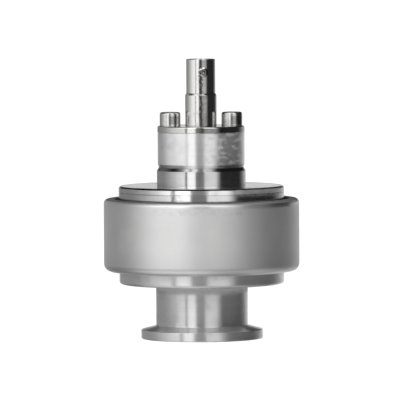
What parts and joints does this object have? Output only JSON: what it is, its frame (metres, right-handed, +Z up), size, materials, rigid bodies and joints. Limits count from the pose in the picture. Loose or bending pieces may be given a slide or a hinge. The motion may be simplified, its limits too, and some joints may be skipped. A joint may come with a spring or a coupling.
{
  "type": "cold cathode vacuum gauge",
  "caption": "Cold cathode vacuum gauge head with a clamp flange, ring magnet casing, screwed cap and bayonet connector.",
  "frame": {"origin": "centre of the vacuum flange's sealing face", "axes": "+Z up the axis of turning, towards the connector; +X through the right-hand cap screw; -Y faces the viewer"},
  "size_m": [0.0644, 0.0642, 0.0919],
  "materials": {
    "turned_steel": "fine turned, dull satin",
    "blasted_casing": "bead-blasted satin",
    "polished_steel": "fine turned and polished",
    "nickel_iron": "bright nickel on turned iron",
    "nickel_plate": "bright nickel plate",
    "screw_steel": "bright stainless",
    "magnet_ferrite": "dark ground ferrite",
    "titanium_sheet": "matt titanium",
    "anode_metal": "bright drawn metal",
    "alumina": "smooth white alumina",
    "seal_rubber": "matt black rubber",
    "white_insulator": "milky white fluoropolymer",
    "gold_contact": "thin gold over brass"
  },
  "bodies": {
    "root": {"gauge_body": "turned_steel", "magnet_casing": "blasted_casing", "top_flange": "polished_steel", "cap_body": "polished_steel", "pressure_ring": "polished_steel", "lower_pole_plate": "nickel_iron", "upper_pole_plate": "nickel_iron", "cap_plate": "nickel_plate", "connector_shell": "nickel_plate", "connector_nut": "nickel_plate", "cap_screws": "screw_steel", "rod_nut": "screw_steel", "rod_washer": "screw_steel", "retaining_circlip": "screw_steel", "lower_magnet": "magnet_ferrite", "upper_magnet": "magnet_ferrite", "cathode_sleeve": "titanium_sheet", "lower_cathode_plate": "titanium_sheet", "upper_cathode_plate": "titanium_sheet", "anode_ring": "anode_metal", "anode_rod": "anode_metal", "ignition_aid": "anode_metal", "feedthrough_insulator": "alumina", "feedthrough_seal": "seal_rubber", "rod_seal": "seal_rubber", "connector_insulator": "white_insulator", "hv_sleeve": "white_insulator", "connector_contact": "gold_contact", "contact_clip": "gold_contact"}
  },
  "joints": []
}
